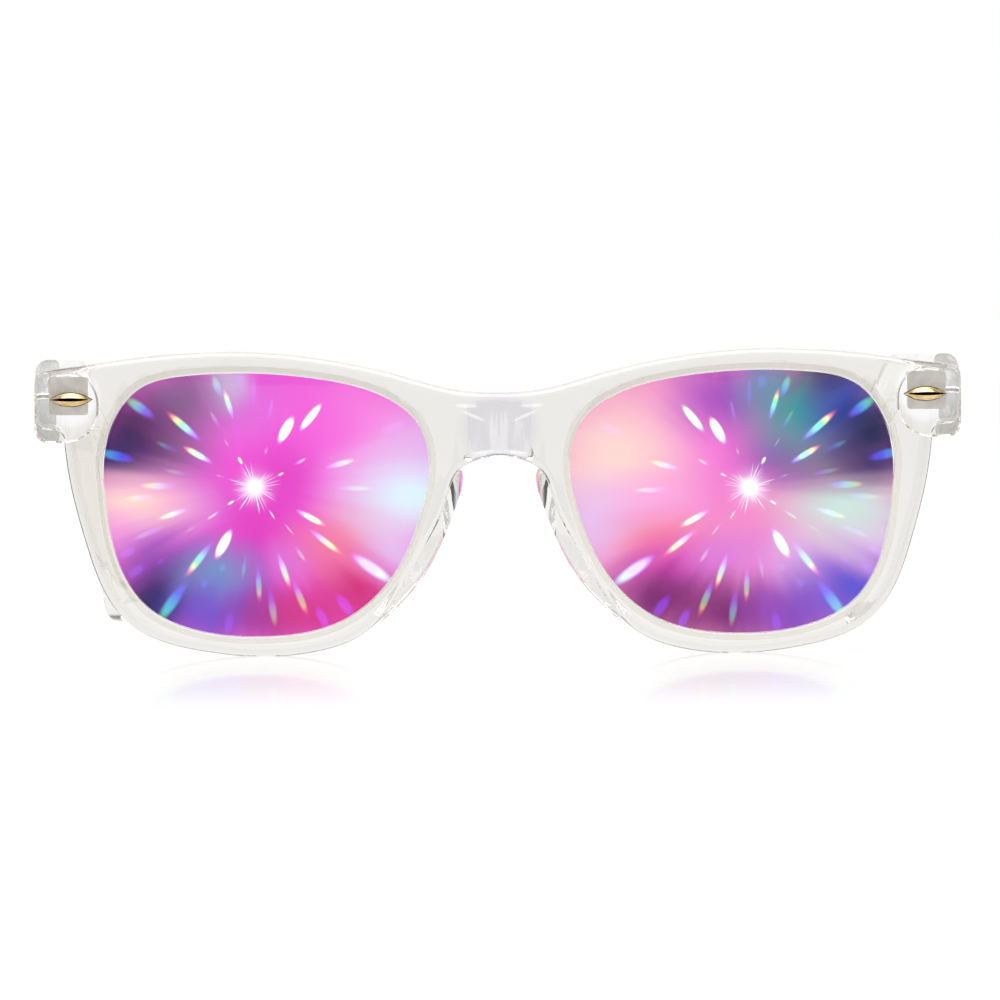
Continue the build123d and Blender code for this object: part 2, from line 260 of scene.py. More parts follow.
@dataclass(frozen=True)
class ClearPolycarbonate:
    """Injection-moulded clear polycarbonate.

    It is water clear with a polished mould skin, and its cut edges gather a faint cool grey.
    """

    name: str = "moulded_clear_polycarbonate"
    body: str = "#F1EFEB"
    edge: str = "#E2E8EC"
    edge_density: float = 3.0
    ior: float = 1.586
    smear_spacing: float = 4.0
    smear_band: Point = (0.45, 0.75)
    roughness: Point = (0.012, 0.05)
    flow_spacing: float = 9.0
    flow_depth: float = 0.012
    scratch_spacing: float = 4.2
    scratch_turn: Triple = (0.3, 0.9, 0.2)
    scratch_squeeze: Triple = (1.0, 6.0, 9.0)
    scratch_depth: float = 0.0003
    deep_bounces: float = 9.0
    painted_deep_glow: str = "#D6D5D3"
    # Painted light in the plastic's colour. Each oval's middle in |X| and Z, reach, turn in degrees,
    # colour, and share of soft rim: painted shade greys the bridge, painted light clears the plastic
    # over the hinges, and painted highlights brighten the three small steps beside the bridge.
    painted_light_ovals: tuple[tuple[Point, Point, float, str, float], ...] = (
        ((0.0, 35.3), (7.2, 6.6), 0.0, "#E7E5E8", 0.35),
        ((67.2, 40.6), (5.6, 5.6), 0.0, WHITE, 0.3),
        ((5.1, 38.9), (2.3, 0.42), 2.0, WHITE, 0.6),
        ((4.0, 37.3), (2.5, 0.34), 24.0, WHITE, 0.6),
        ((2.5, 31.7), (2.2, 0.3), -8.0, WHITE, 0.6),
    )

    def build(self) -> Material:
        """Make the material.

        Returns:
            The material.
        """
        material, add, place = new_material(self.name)
        # Handling smears: soft patches a few millimetres across that dull the polish a little.
        smears = add("TexNoise", {"Vector": place, "Scale": 1 / mm(self.smear_spacing), "Detail": 4.0})
        roughness = add("MapRange", {"Value": smears, FROM: self.smear_band, TO: self.roughness})
        # Flow waves of the moulding, long and very shallow.
        flow = add("TexNoise", {"Vector": place, "Scale": 1 / mm(self.flow_spacing), "Detail": 1.0})
        waves = add("Bump", {"Height": flow, "Distance": mm(self.flow_depth)})
        # Hairline scratches, drawn coarser than real ones so that they show at all.
        stretch = add(
            "Mapping", {"Vector": place, "Rotation": self.scratch_turn, "Scale": self.scratch_squeeze}
        )
        hairs = add(
            "TexNoise", {"Vector": stretch, "Scale": 1 / mm(self.scratch_spacing), "Detail": 2.0}
        )
        scratches = add("Bump", {"Height": hairs, "Distance": mm(self.scratch_depth), "Normal": waves})
        shader = add("BsdfPrincipled", {
            "Base Color": self._tint(add, place), "Transmission Weight": 1.0, "IOR": self.ior,
            "Roughness": roughness, "Normal": scratches,
        })
        absorption = add("VolumeAbsorption", {"Color": colour(self.edge), "Density": self.edge_density})
        # Past this many bounces the plastic glows by itself in a painted light grey, so light trapped
        # along a temple shows as an even painted glow, not as black.
        depth = add(
            "Math", {0: add("LightPath").outputs["Ray Depth"], 1: self.deep_bounces},
            operation="GREATER_THAN",
        )
        glow = add("Emission", {"Color": colour(self.painted_deep_glow)})
        body = add("MixShader", {"Fac": depth, 1: shader, 2: glow})
        add("OutputMaterial", {"Surface": body, "Volume": absorption})
        return material

    def _tint(self, add: Adder, place: Socket) -> Node:
        """Lay the painted shade and painted highlights over the body colour, the same on both sides.

        Args:
            add: Adds a node to the material.
            place: Object coordinates.

        Returns:
            The node that gives the colour.
        """
        parts = add("SeparateXYZ", {"Vector": place})
        across = add("Math", {0: parts.outputs["X"]}, operation="ABSOLUTE")
        folded = add("CombineXYZ", {"X": across, "Y": parts.outputs["Z"]})
        painted_colour: object = colour(self.body)
        # The first oval lays painted shade on the bridge, and the others lay painted light.
        for (x, z), (reach_x, reach_z), turn, code, rim in self.painted_light_ovals:
            soft = soft_oval(
                add, folded, (mm(x), mm(z), 0.0), (0.0, 0.0, math.radians(turn)),
                (mm(reach_x), mm(reach_z), 1.0), rim,
            )
            painted_colour = add("Mix", {"Factor": soft, 6: painted_colour, 7: colour(code)}, data_type="RGBA")
        return painted_colour


@dataclass(frozen=True)
class HardCoatedLens:
    """Cut polycarbonate sheet with an anti-reflection hard coat, clear and very smooth."""

    name: str = "coated_polycarbonate_lens_sheet"
    ior: float = 1.38
    mirrored: float = 0.25
    smear_spacing: float = 7.0
    smear_band: Point = (0.5, 0.8)
    roughness: Point = (0.004, 0.02)
    wave_spacing: float = 14.0
    wave_depth: float = 0.004

    def build(self) -> Material:
        """Make the material.

        Returns:
            The material.
        """
        material, add, place = new_material(self.name)
        smears = add("TexNoise", {"Vector": place, "Scale": 1 / mm(self.smear_spacing), "Detail": 5.0})
        roughness = add("MapRange", {"Value": smears, FROM: self.smear_band, TO: self.roughness})
        waves = add("TexNoise", {"Vector": place, "Scale": 1 / mm(self.wave_spacing)})
        bump = add("Bump", {"Height": waves, "Distance": mm(self.wave_depth)})
        # The coat's own low index and half-strength mirror keep the film behind it dark and clear.
        shader = add("BsdfPrincipled", {
            "Base Color": colour(WHITE), "Transmission Weight": 1.0, "IOR": self.ior,
            "Specular IOR Level": self.mirrored, "Roughness": roughness, "Normal": bump,
        })
        add("OutputMaterial", {"Surface": shader})
        return material


@dataclass(frozen=True)
class Cloud:
    """One soft patch of colour, in millimetres from the star with U towards the temple."""

    hue: Hue
    u: float
    v: float
    reach_u: float
    reach_v: float
    turn: float = 0.0
    weight: float = 1.0


@dataclass(frozen=True)
class Streak:
    """One spectrum that points at the star: angle, distance, length and width in millimetres."""

    angle: float
    distance: float
    length: float
    width: float
    glow: float
    white: float = 0.0
    first: float = 0.0
    last: float = 1.0


RIGHT_CLOUDS = tuple(Cloud(*row) for row in (
    (Hue.PINK, -17, 10, 17, 16, 0, 0.6), (Hue.HOT_PINK, -8, 9, 15, 13, 0, 0.7),
    (Hue.MAGENTA, 0, -7, 14, 17, 0, 0.85), (Hue.MAGENTA, -5, 2, 9, 9, 0, 0.6),
    (Hue.ORCHID, 3, 13, 12, 9, 0, 0.7), (Hue.ICE, 4.5, 16, 6, 6, 0, 0.6),
    (Hue.MAUVE, 12, 14, 13, 9, 0, 0.95), (Hue.MAUVE, 13, 6, 11, 9, 0, 0.85), (Hue.PLUM, 20, 9, 13, 9),
    (Hue.INDIGO, 22, 5, 10, 7, 0, 0.9), (Hue.ORCHID, 9, -3, 9, 8, 0, 0.6), (Hue.PEACH, 20, -3, 17, 9),
    (Hue.PINK, 22, -9, 11, 7, 0, 0.8), (Hue.VIOLET, 14, -12, 15, 9, 0, 0.9),
    (Hue.VIOLET, 1, -16, 9, 10, 0, 0.7), (Hue.INDIGO, 15, -18, 14, 10, -30),
    (Hue.STEEL, 6, -13.5, 10, 8, 0, 0.95), (Hue.PERIWINKLE, 7, -20, 11, 8, 0, 0.8),
    (Hue.WINE, -2, -21, 12, 7, 0, 0.6), (Hue.CRIMSON, -8, -20, 12, 8, 0, 0.8),
    (Hue.CRIMSON, -16, -15.5, 13, 10, 30), (Hue.CORAL, -13, -8, 14, 9, -20, 0.85),
    (Hue.ORCHID, -5, -12, 6, 6, 0, 0.6), (Hue.LILAC, -22, -11, 10, 6, 30, 0.8),
    (Hue.ICE, -25, -1, 19, 12), (Hue.LILAC, -27, 8, 12, 10, 0, 0.6),
))
LEFT_CLOUDS = tuple(Cloud(*row) for row in (
    (Hue.HOT_PINK, -8, 7, 15, 15, 0, 0.8), (Hue.PEACH, -21, 5, 20, 18),
    (Hue.LILAC, -24, -5, 14, 11, 0, 0.8), (Hue.PINK, -15, -2, 12, 8, 0, 0.6),
    (Hue.CORAL, -14, -8, 13, 7, 0, 0.85), (Hue.MAGENTA, -12, -13, 12, 8, 0, 0.85),
    (Hue.WINE, -14, -17, 14, 9), (Hue.ORCHID, -5, -11, 9, 7, 0, 0.7), (Hue.WINE, -3, -20, 17, 9),
    (Hue.ORCHID, 3, -11, 10, 8, 0, 0.5), (Hue.VIOLET, 6, -20, 12, 9), (Hue.LILAC, 8, -11, 9, 7, 0, 0.6),
    (Hue.PERIWINKLE, 16, -16, 16, 11), (Hue.LILAC, 21, -8, 12, 8, 0, 0.8), (Hue.SAGE, 15, -3, 16, 10),
    (Hue.VIOLET, -3, 14, 14, 9, 0, 0.85), (Hue.STEEL, 2, 16, 7, 6, 0, 0.6),
    (Hue.VIOLET, 5, 5, 11, 8, 0, 0.85), (Hue.MAUVE, 13, 4, 15, 8, 0, 0.85), (Hue.TEAL, 8, 12, 14, 12),
    (Hue.NAVY, 14, 17, 11, 7, 0, 0.85), (Hue.ROYAL, 15.5, 12, 10, 8, 30, 0.9), (Hue.NAVY, 20, 9, 13, 9),
    (Hue.INDIGO, 20, 4, 10, 6, 0, 0.8),
))
STREAKS = tuple(Streak(*row) for row in (
    (70, 16.8, 3.5, 1.2, 0.8, 0.1, 0.12, 0.62), (73, 13.6, 5.1, 0.9, 1.2, 0.25, 0.05, 0.95),
    (83, 16.7, 2.4, 1.5, 0.4, 0.1, 0.05, 0.2), (90, 14.7, 4.2, 0.8, 0.35, 0.1, 0.0, 0.3),
    (102, 12.4, 3.2, 0.6, 0.45, 0.4, 0.0, 0.3), (129, 14.0, 5.1, 1.2, 2.2, 0.5, 0.3, 0.75),
    (119, 10.2, 4.8, 1.5, 2.4, 0.6, 0.1, 0.9), (35, 21.7, 5.5, 1.7, 0.9, 0.15, 0.0, 0.65),
    (41, 14.6, 6.8, 1.2, 1.4, 0.25), (30, 10.2, 5.3, 1.0, 1.5, 0.35),
    (13, 22.1, 5.6, 1.6, 1.0, 0.0, 0.08, 0.42), (60, 12.2, 3.2, 0.6, 0.4, 0.2, 0.0, 0.8),
    (58, 8.3, 1.8, 0.3, 0.4, 0.3, 0.5), (25, 15.0, 3.9, 0.8, 0.35, 0.1, 0.0, 0.6),
    (11, 12.1, 4.5, 0.7, 0.35, 0.1, 0.0, 0.7), (1, 15.1, 5.7, 1.2, 0.9, 0.15, 0.0, 0.8),
    (355, 18.1, 5.1, 1.0, 0.6, 0.15, 0.0, 0.75), (342, 13.4, 5.0, 0.9, 1.2, 0.35, 0.0, 0.8),
    (337, 17.9, 5.2, 0.9, 0.5, 0.4, 0.0, 0.4), (333, 22.4, 3.2, 1.4, 0.5, 0.2, 0.0, 0.1),
    (325, 22.8, 3.4, 1.5, 0.5, 0.1, 0.0, 0.1), (327, 11.5, 3.0, 0.5, 0.35, 0.1, 0.0, 0.6),
    (326, 7.8, 2.9, 0.4, 0.8, 0.3, 0.0, 0.95), (327, 4.4, 1.4, 0.4, 1.4, 0.7, 0.0, 0.9),
    (18, 5.6, 1.6, 0.3, 0.5, 0.5, 0.0, 0.5), (62, 4.7, 1.5, 0.5, 1.5, 0.7, 0.0, 0.9),
    (154, 4.5, 1.3, 0.4, 1.0, 0.6, 0.0, 0.9), (151, 8.2, 2.4, 0.5, 0.6, 0.5, 0.0, 0.9),
    (108, 6.1, 1.5, 0.5, 0.35, 0.3, 0.6), (165, 13.8, 5.0, 1.0, 0.9, 0.5, 0.0, 0.8),
    (181, 15.5, 5.5, 0.9, 0.6, 0.5, 0.0, 0.8), (157, 23.5, 4.5, 1.5, 0.35, 0.5, 0.0, 0.2),
    (238, 5.0, 2.0, 0.3, 0.9, 0.6, 0.0, 0.9), (231, 8.4, 2.9, 0.3, 0.6, 0.4, 0.0, 0.95),
    (236, 12.6, 3.4, 0.6, 0.5, 0.3, 0.0, 0.95), (299, 10.1, 5.2, 1.5, 2.4, 0.5, 0.1),
    (308, 14.3, 6.7, 1.2, 1.2, 0.2), (306, 22.1, 7.8, 1.8, 1.0, 0.05, 0.06, 0.62),
    (278, 12.4, 3.9, 0.6, 0.4, 0.1, 0.0, 0.65), (268, 15.3, 5.9, 0.9, 0.7, 0.1),
    (251, 13.8, 6.0, 1.0, 1.0, 0.35, 0.0, 0.95), (248, 18.7, 6.6, 1.1, 0.7, 0.1),
    (262, 19.0, 5.8, 1.2, 0.6, 0.1, 0.0, 0.7), (281, 21.7, 3.9, 1.5, 0.6, 0.0, 0.0, 0.12),
    (243, 23.0, 3.9, 1.5, 0.7, 0.05, 0.0, 0.1), (233, 23.2, 4.5, 1.7, 0.7, 0.05, 0.0, 0.1),
    (209, 10.0, 5.4, 1.0, 1.5, 0.4), (218, 14.0, 6.6, 1.0, 1.1, 0.35),
    (215, 22.3, 7.9, 2.0, 1.5, 0.5, 0.0, 0.35), (298, 17.0, 1.6, 1.2, 0.5, 0.0, 0.15, 0.25),
    (292, 13.6, 1.4, 1.0, 0.4, 0.0, 0.2, 0.3), (322, 18.8, 1.6, 0.8, 0.35, 0.1, 0.0, 0.1),
))
STREAK_RIM = 0.62
NOISE_MIDDLE = (0.5, 0.5, 0.5)
# A wave texture has this many bands in one unit.
WAVES_PER_UNIT = 20


class PatternTools:
    """The two node groups that every patch and every streak of the film is drawn with."""

    def __init__(self) -> None:
        """Make both groups."""
        self.cloud = self._cloud_group()
        self.streak = self._streak_group()

    @staticmethod
    def _group(name: str, kinds: dict[str, str]) -> tuple[Tree, Adder, dict[str, Socket]]:
        """Start a node group that gives a colour.

        Args:
            name: The group's name.
            kinds: The kind of each input by its title.

        Returns:
            The group, what adds a node to it, and its inputs.
        """
        group = bpy.data.node_groups.new(name, "ShaderNodeTree")
        for title, kind in kinds.items():
            group.interface.new_socket(title, in_out="INPUT", socket_type="NodeSocket" + kind)
        group.interface.new_socket("Colour", in_out="OUTPUT", socket_type="NodeSocketColor")
        add = partial(add_node, group)
        return group, add, dict(add("NodeGroupInput").outputs.items())

    def _cloud_group(self) -> Tree:
        """A soft oval patch, laid over the colour that comes in.

        Returns:
            The group.
        """
        group, add, given = self._group("colour_cloud", {
            "Place": "Vector", "Middle": "Vector", "Turn": "Vector", "Reach": "Vector",
            "Weight": "Float", "Hue": "Color", "Under": "Color",
        })
        oval = (given[title] for title in ("Place", "Middle", "Turn", "Reach"))
        soft = soft_oval(add, *oval, 1.0)
        cover = add("Math", {0: soft, 1: given["Weight"]}, operation="MULTIPLY")
        over = add("Mix", {"Factor": cover, 6: given["Under"], 7: given["Hue"]}, data_type="RGBA")
        add("NodeGroupOutput", {"Colour": over})
        return group

    def _streak_group(self) -> Tree:
        """A spindle of spectral light, screened over the colour that comes in.

        Returns:
            The group.
        """
        group, add, given = self._group("spectral_streak", {
            "Place": "Vector", "Radius": "Float", "Middle": "Vector", "Turn": "Vector",
            "Reach": "Vector", "Inner": "Float", "Outer": "Float", "Glow": "Float", "White": "Float",
            "First": "Float", "Last": "Float", "Under": "Color",
        })
        oval = (given[title] for title in ("Place", "Middle", "Turn", "Reach"))
        soft = soft_oval(add, *oval, STREAK_RIM)
        glow = add("Math", {0: soft, 1: given["Glow"]}, operation="MULTIPLY")
        hue = add("MapRange", {
            "Value": given["Radius"], FROM: (given["Inner"], given["Outer"]),
            TO: (given["First"], given["Last"]),
        })
        ramp = set_stops(add("ValToRGB", {"Fac": hue}), (band.value for band in Spectrum))
        light = add(
            "Mix", {"Factor": glow, 6: colour(BLACK), 7: ramp}, data_type="RGBA", clamp_factor=False
        )
        # Only the brightest part of a streak burns out to white.
        heart = add("Math", {0: glow, 1: 2.0}, operation="POWER")
        white = add("Math", {0: heart, 1: given["White"]}, operation="MULTIPLY")
        core = add(
            "Mix", {"Factor": white, 6: light, 7: colour(WHITE)},
            data_type="RGBA", blend_type="ADD", clamp_factor=False, clamp_result=True,
        )
        over = add(
            "Mix", {"Factor": 1.0, 6: given["Under"], 7: core},
            data_type="RGBA", blend_type="SCREEN", clamp_result=True,
        )
        add("NodeGroupOutput", {"Colour": over})
        return group


@dataclass(frozen=True)
class StarPlace:
    """Where a point of the film lies from the star: its place in millimetres, direction and radius."""

    place: Node
    direction: Node
    radius: Node


@dataclass(frozen=True)
class DiffractionFilm:
    """Embossed diffraction film: a clear sheet whose grating throws spectra round bright points.

    The pattern stands for the light that the film sends out, so most of it glows by itself.
    """

    side: Side
    star_x: float
    star_z: float
    clouds: tuple[Cloud, ...]
    base: Hue
    tools: PatternTools
    streak_length: float = 1.2
    streak_width: float = 1.25
    streak_glow: float = 0.76
    streak_hues: float = 0.75
    contrast: float = 1.18
    ray_count: float = 6.0
    ray_sway: float = 0.22
    halo: str = "#EBD2FF"
    halo_reach: float = 4.6
    halo_fall: float = 2.2
    disc: Point = (0.6, 2.2)
    spike_count: float = 15.0
    spike_band: Point = (0.45, 0.68)
    spike_reach: Point = (1.3, 4.6)
    spike_fade: float = 1.8
    spike_light: float = 0.85
    light: float = 0.9
    returned: float = 0.25
    roughness: float = 0.2
    groove_pitch: float = 0.12
    groove_depth: float = 0.002

    def build(self) -> Material:
        """Make the material.

        Returns:
            The material.
        """
        material, add, metres = new_material(f"embossed_diffraction_film_{self.side.word}")
        star = self._star_place(add, metres)
        picture: object = self._background(add, star)
        for streak in STREAKS:
            picture = self._streak(add, star, picture, streak)
        picture = self._star(add, star, picture)
        picture = add("Gamma", {"Color": picture, "Gamma": self.contrast})
        # The grating's grooves are far too fine to show, and are drawn about a hundred times coarser.
        grooves = add(
            "TexWave", {"Vector": metres, "Scale": 1 / mm(self.groove_pitch) / WAVES_PER_UNIT},
            bands_direction="DIAGONAL",
        )
        bump = add("Bump", {"Height": grooves.outputs["Fac"], "Distance": mm(self.groove_depth)})
        base = add("Mix", {"Factor": self.returned, 6: colour(BLACK), 7: picture}, data_type="RGBA")
        shader = add("BsdfPrincipled", {
            "Base Color": base, "Roughness": self.roughness, "Specular IOR Level": 0.0,
            "Emission Color": picture, "Emission Strength": self.light, "Normal": bump,
        })
        # The film's margin in the rim's groove has no picture.
        clear = add("BsdfTransparent", {"Color": colour(WHITE)})
        margin = add("Attribute", attribute_name="clear_margin").outputs["Fac"]
        edge = add("Math", {0: margin, 1: 0.5}, operation="GREATER_THAN")
        both = add("MixShader", {"Fac": edge, 1: shader, 2: clear})
        add("OutputMaterial", {"Surface": both})
        return material

    def _star_place(self, add: Adder, metres: Socket) -> StarPlace:
        """Measure from the star, with U towards the temple and V up.

        Args:
            add: Adds a node to the material.
            metres: Object coordinates.

        Returns:
            The measures.
        """
        sign = self.side.value
        centred = add("Mapping", {
            "Vector": metres, "Location": (mm(self.star_x) * sign, 0.0, mm(self.star_z)),
            "Scale": (mm(sign), 1.0, mm(1.0)),
        }, vector_type="TEXTURE")
        parts = add("SeparateXYZ", {"Vector": centred})
        flat = add("CombineXYZ", {"X": parts.outputs["X"], "Y": parts.outputs["Z"]})
        direction = add("VectorMath", {0: flat}, operation="NORMALIZE")
        return StarPlace(flat, direction, add("VectorMath", {0: flat}, operation="LENGTH"))

    def _background(self, add: Adder, star: StarPlace) -> object:
        """Blend the soft patches, drawn out into rays from the star.

        Args:
            add: Adds a node to the material.
            star: Measures from the star.

        Returns:
            The blended colour.
        """
        rays = add(
            "TexNoise", {"Vector": star.direction, "Scale": self.ray_count, "Detail": 2.0}
        ).outputs["Color"]
        sway = add("VectorMath", {0: rays, 1: NOISE_MIDDLE}, operation="SUBTRACT")
        amount = add("Math", {0: star.radius, 1: self.ray_sway}, operation="MULTIPLY")
        swayed = add("VectorMath", {0: sway, 1: amount, 2: star.place}, operation="MULTIPLY_ADD")
        level = add("VectorMath", {0: swayed, 1: (1.0, 1.0, 0.0)}, operation="MULTIPLY")
        picture: object = colour(self.base.value)
        for cloud in self.clouds:
            picture = add("Group", {
                "Place": level, "Middle": (cloud.u, cloud.v, 0.0),
                "Turn": (0.0, 0.0, math.radians(cloud.turn)),
                "Reach": (cloud.reach_u, cloud.reach_v, 1.0), "Weight": cloud.weight,
                "Hue": colour(cloud.hue.value), "Under": picture,
            }, node_tree=self.tools.cloud)
        return picture

    def _streak(self, add: Adder, star: StarPlace, under: object, streak: Streak) -> Node:
        """Lay one streak over the picture.

        Args:
            add: Adds a node to the material.
            star: Measures from the star.
            under: The picture so far.
            streak: The streak.

        Returns:
            The picture with the streak.
        """
        turn = math.radians(streak.angle)
        half = streak.length * self.streak_length / 2
        return add("Group", {
            "Place": star.place, "Radius": star.radius,
            "Middle": (streak.distance * math.cos(turn), streak.distance * math.sin(turn), 0.0),
            "Turn": (0.0, 0.0, turn), "Reach": (half, streak.width * self.streak_width / 2, 1.0),
            "Inner": streak.distance - half * self.streak_hues,
            "Outer": streak.distance + half * self.streak_hues, "Glow": streak.glow * self.streak_glow,
            "White": streak.white, "First": streak.first, "Last": streak.last, "Under": under,
        }, node_tree=self.tools.streak)

    def _star(self, add: Adder, star: StarPlace, under: object) -> Node:
        """Add the bright point, its halo and its fine spikes.

        Args:
            add: Adds a node to the material.
            star: Measures from the star.
            under: The picture so far.

        Returns:
            The finished picture.
        """
        halo = add("MapRange", {"Value": star.radius, "From Max": self.halo_reach, TO: (1.0, 0.0)})
        eased = add("Math", {0: halo, 1: self.halo_fall}, operation="POWER")
        soft = add(
            "Mix", {"Factor": eased, 6: under, 7: colour(self.halo)},
            data_type="RGBA", blend_type="SCREEN", clamp_result=True,
        )
        disc = add(
            "MapRange", {"Value": star.radius, FROM: self.disc, TO: (1.0, 0.0)},
            interpolation_type="SMOOTHSTEP",
        )
        spikes = add("TexNoise", {"Vector": star.direction, "Scale": self.spike_count, "Detail": 1.0})
        reach = add("MapRange", {"Value": spikes, FROM: self.spike_band, TO: self.spike_reach})
        gap = add("Math", {0: reach, 1: star.radius}, operation="SUBTRACT")
        rays = add(
            "MapRange", {"Value": gap, "From Max": self.spike_fade, "To Max": self.spike_light},
            interpolation_type="SMOOTHSTEP",
        )
        core = add("Math", {0: disc, 1: rays}, operation="MAXIMUM")
        return add("Mix", {"Factor": core, 6: soft, 7: colour(WHITE)}, data_type="RGBA")


@dataclass(frozen=True)
class PlatedMetal:
    """Bright gold plate on stamped nickel silver, polished by tumbling.

    It mirrors the studio softly, with fine random scuffs, and a near-black painted shade darkens it
    where a mesh marks its recesses.
    """

    name: str = "tumbled_gold_plate"
    bright: str = "#F2D8A8"
    dull: str = "#D8B680"
    recess: str = "#1C1510"
    patch_spacing: float = 1.8
    patch_band: Point = (0.35, 0.62)
    roughness: Point = (0.14, 0.3)
    scuff_spacing: float = 0.35
    scuff_band: Point = (0.4, 0.7)
    scuff_depth: float = 0.004
    scuff_strength: float = 0.6

    def build(self) -> Material:
        """Make the material.

        Returns:
            The material.
        """
        material, add, place = new_material(self.name)
        patches = add("TexNoise", {"Vector": place, "Scale": 1 / mm(self.patch_spacing), "Detail": 5.0})
        tone = add("ValToRGB", {"Fac": patches})
        set_stops(tone, zip(self.patch_band, (self.dull, self.bright)))
        # Painted shade: near black where the mesh marks a recess.
        recess = add("Attribute", attribute_name="recess").outputs["Fac"]
        base = add("Mix", {"Factor": recess, 6: tone, 7: colour(self.recess)}, data_type="RGBA")
        scuffs = add("TexNoise", {
            "Vector": place, "Scale": 1 / mm(self.scuff_spacing), "Detail": 6.0, "Roughness": 0.7,
        })
        roughness = add("MapRange", {"Value": scuffs, FROM: self.scuff_band, TO: self.roughness})
        bump = add("Bump", {
            "Height": scuffs, "Distance": mm(self.scuff_depth), "Strength": self.scuff_strength,
        })
        shader = add("BsdfPrincipled", {
            "Base Color": base, "Metallic": 1.0, "Roughness": roughness, "Normal": bump,
        })
        add("OutputMaterial", {"Surface": shader})
        return material


@dataclass(frozen=True)
class TurnedSteel:
    """Lathe-turned stainless steel, whose fine tool rings run round the screw's axis."""

    axis: Point
    side: Side
    bright: str = "#C9C6C0"
    dull: str = "#9C9993"
    roughness: float = 0.28
    ring_pitch: float = 0.09
    ring_depth: float = 0.006
    ring_wobble: float = 0.6
    ring_band: Point = (0.2, 0.8)

    def build(self) -> Material:
        """Make the material.

        Returns:
            The material.
        """
        material, add, place = new_material(f"turned_stainless_steel_{self.side.word}")
        centred = add("Mapping", {"Vector": place, "Location": (-self.axis[0], -self.axis[1], 0.0)})
        rings = add("TexWave", {
            "Vector": centred, "Scale": 1 / mm(self.ring_pitch) / WAVES_PER_UNIT,
            "Distortion": self.ring_wobble, "Detail": 2.0,
        }, wave_type="RINGS", rings_direction="Z").outputs["Fac"]
        tone = add("ValToRGB", {"Fac": rings})
        set_stops(tone, zip(self.ring_band, (self.dull, self.bright)))
        bump = add("Bump", {"Height": rings, "Distance": mm(self.ring_depth)})
        shader = add("BsdfPrincipled", {
            "Base Color": tone, "Metallic": 1.0, "Roughness": self.roughness, "Normal": bump,
        })
        add("OutputMaterial", {"Surface": shader})
        return material


def sharpen(shell: Shell, degrees: float) -> None:
    """Shade a shell smooth except over its corners.

    Args:
        shell: The shell.
        degrees: A turn above this stays a corner.
    """
    for face in shell.faces:
        face.smooth = True
    limit = math.radians(degrees)
    for edge in shell.edges:
        edge.smooth = len(edge.link_faces) == 2 and edge.calc_face_angle(0.0) < limit


def edges_of(verts: Iterable[bmesh.types.BMVert]) -> list[bmesh.types.BMEdge]:
    """The edges of some vertices, each once."""
    return list({edge for vertex in verts for edge in vertex.link_edges})


def finish(shell: Shell, name: str, material: Material) -> bpy.types.Object:
    """Turn a shell into an object at the origin.

    Args:
        shell: The shell, which is freed.
        name: The piece's name.
        material: Its finish.

    Returns:
        The new object.
    """
    mesh = bpy.data.meshes.new(name)
    shell.to_mesh(mesh)
    shell.free()
    mesh.materials.append(material)
    piece = bpy.data.objects.new(name, mesh)
    bpy.context.scene.collection.objects.link(piece)
    return piece


def fit(piece: bpy.types.Object, body: str, node: str) -> None:
    """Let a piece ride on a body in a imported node's stead.

    Args:
        piece: The piece.
        body: The body that it moves with.
        node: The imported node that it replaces.
    """
    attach(piece, body)
    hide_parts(node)


@dataclass
class Moulding:
    """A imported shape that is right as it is, carried over as one smooth skin."""

    node: str
    name: str
    body: str
    slot: str
    material: Material
    bevel: float = 0.0
    shrink: float = 0.0
    corner: float = 32.0
    merged: float = 0.0015
    flat: float = 0.5

    def build(self) -> None:
        """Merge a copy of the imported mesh, shade it and let it ride on its body."""
        shell = bmesh.new()
        shell.from_mesh(bpy.data.objects[self.node].data)
        bmesh.ops.remove_doubles(shell, verts=shell.verts, dist=mm(self.merged))
        bmesh.ops.dissolve_degenerate(shell, edges=shell.edges, dist=mm(self.merged / 3))
        if self.bevel:
            bmesh.ops.dissolve_limit(
                shell, angle_limit=math.radians(self.flat), use_dissolve_boundaries=False,
                verts=shell.verts, edges=shell.edges, delimit=set(),
            )
        if self.shrink:
            # A sliver of air, so that metal seated in clear plastic doesn't share its faces.
            shell.normal_update()
            factors = [mm(self.shrink) * vertex.calc_shell_factor() for vertex in shell.verts]
            for vertex, factor in zip(shell.verts, factors):
                vertex.co -= vertex.normal * factor
        sharpen(shell, self.corner)
        piece = finish(shell, self.name, self.material)
        if self.bevel:
            rounding = piece.modifiers.new("broken edges", "BEVEL")
            rounding.width = mm(self.bevel)
            rounding.segments = 2
            rounding.limit_method = "ANGLE"
            rounding.angle_limit = math.radians(self.corner)
        piece.modifiers.new("even shading", "WEIGHTED_NORMAL").keep_sharp = True
        fit(piece, self.body, self.node)


